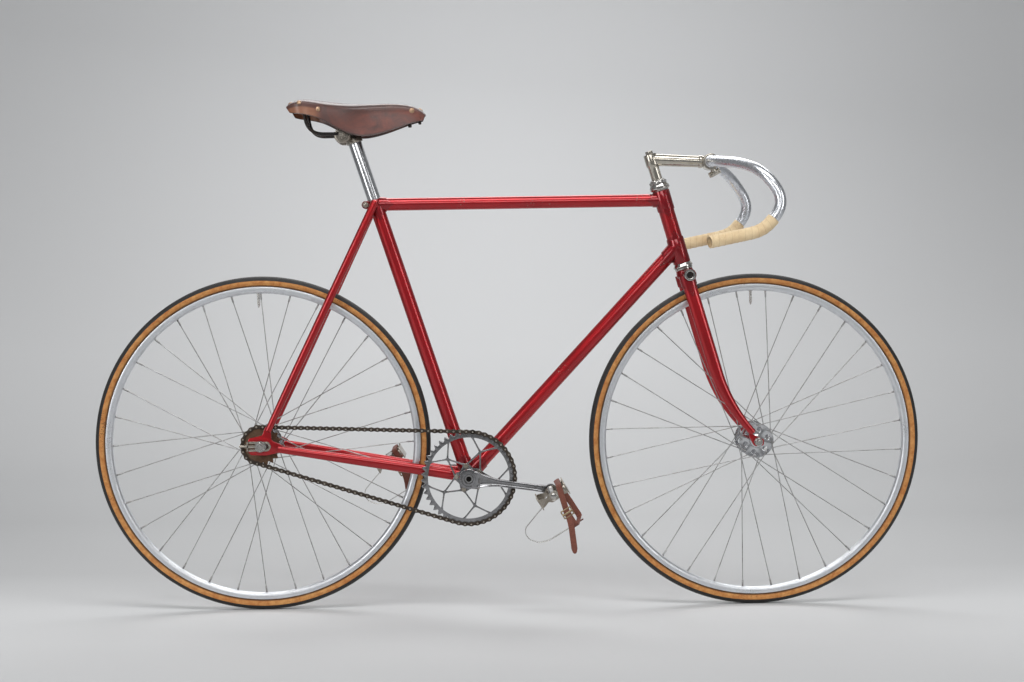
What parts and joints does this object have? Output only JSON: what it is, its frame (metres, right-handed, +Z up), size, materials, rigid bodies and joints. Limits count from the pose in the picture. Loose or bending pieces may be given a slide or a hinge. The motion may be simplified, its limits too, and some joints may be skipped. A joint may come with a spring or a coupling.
{
  "type": "track bicycle",
  "caption": "Fixed-gear track bicycle with dropped bars, leather saddle, large-flange hubs and toe clips.",
  "frame": {"origin": "the top of the saddle, where the rider sits", "axes": "+X forward, +Y to the rider's left, +Z up"},
  "size_m": [1.6689, 0.4154, 1.026],
  "materials": {
    "frame_paint": "glossy deep red enamel, aged",
    "chrome_fittings": "bright plated steel, slightly pitted",
    "polished_alloy": "polished",
    "worn_steel": "dull, worn",
    "chain_steel": "dark, oiled and rusty",
    "sprocket_steel": "rusty brown",
    "tyre_rubber": "black tread, tan sidewalls",
    "saddle_leather": "worn dark brown",
    "strap_leather": "brown",
    "bar_cloth": "cream cloth tape"
  },
  "bodies": {
    "frame": {"head_tube": "frame_paint", "top_tube": "frame_paint", "seat_tube": "frame_paint", "down_tube": "frame_paint", "head_lug_upper": "frame_paint", "head_lug_lower": "frame_paint", "seat_lug": "frame_paint", "seat_bolt": "chrome_fittings", "bottom_bracket_shell": "frame_paint", "seat_stay_left": "frame_paint", "seat_stay_right": "frame_paint", "chain_stay_left": "frame_paint", "chain_stay_right": "frame_paint", "rear_fork_ends": "frame_paint", "stay_bridges": "frame_paint", "rear_axle": "chrome_fittings", "chain_tugs": "chrome_fittings", "headset_cups": "chrome_fittings", "bracket_cups": "worn_steel", "seat_post": "polished_alloy", "saddle_cover": "saddle_leather", "saddle_rails": "worn_steel", "saddle_clamp": "worn_steel", "chain": "chain_steel"},
    "steering": {"fork_crown": "frame_paint", "fork_blade_left": "frame_paint", "fork_blade_right": "frame_paint", "crown_caps": "chrome_fittings", "fork_tips": "frame_paint", "headset_races": "chrome_fittings", "stem": "chrome_fittings", "handlebar": "polished_alloy", "bar_tape": "bar_cloth", "front_axle": "chrome_fittings"},
    "front_wheel": {"front_tyre": "tyre_rubber", "front_rim": "polished_alloy", "front_spokes": "worn_steel", "front_hub": "polished_alloy"},
    "rear_wheel": {"rear_tyre": "tyre_rubber", "rear_rim": "polished_alloy", "rear_spokes": "worn_steel", "rear_hub": "polished_alloy", "sprocket": "sprocket_steel"},
    "crank": {"chainring": "polished_alloy", "crank_right": "polished_alloy", "crank_left": "polished_alloy", "crank_spindle": "worn_steel", "pedal_spindles": "worn_steel"},
    "pedal_right": {"pedal_body_right": "worn_steel", "pedal_cage_right": "chrome_fittings", "toe_clip_right": "chrome_fittings", "toe_strap_right": "strap_leather"},
    "pedal_left": {"pedal_body_left": "worn_steel", "pedal_cage_left": "chrome_fittings", "toe_clip_left": "chrome_fittings", "toe_strap_left": "strap_leather"}
  },
  "joints": [
    {"name": "steering_turn", "type": "hinge", "parent": "frame", "child": "steering", "pos_m": [0.70034, 0, -0.33066], "axis": [-0.2874, 0, 0.9578], "range_deg": [-128, 128]},
    {"name": "front_wheel_spin", "type": "hinge", "parent": "steering", "child": "front_wheel", "pos_m": [0.84498, 0, -0.684], "axis": [0, 1, 0], "continuous": true},
    {"name": "crank_spin", "type": "hinge", "parent": "frame", "child": "crank", "pos_m": [0.26298, 0, -0.753], "axis": [0, 1, 0], "continuous": true},
    {"name": "rear_wheel_spin", "type": "hinge", "parent": "frame", "child": "rear_wheel", "pos_m": [-0.15, 0, -0.684], "axis": [0, 1, 0], "continuous": true},
    {"name": "pedal_right_spin", "type": "hinge", "parent": "crank", "child": "pedal_right", "pos_m": [0.42637, 0, -0.77596], "axis": [0, 1, 0], "continuous": true},
    {"name": "pedal_left_spin", "type": "hinge", "parent": "crank", "child": "pedal_left", "pos_m": [0.09958, 0, -0.73004], "axis": [0, 1, 0], "continuous": true}
  ],
  "couplings": [
    {"joint": "rear_wheel_spin", "follows": "crank_spin", "ratio": 2.4211}
  ]
}
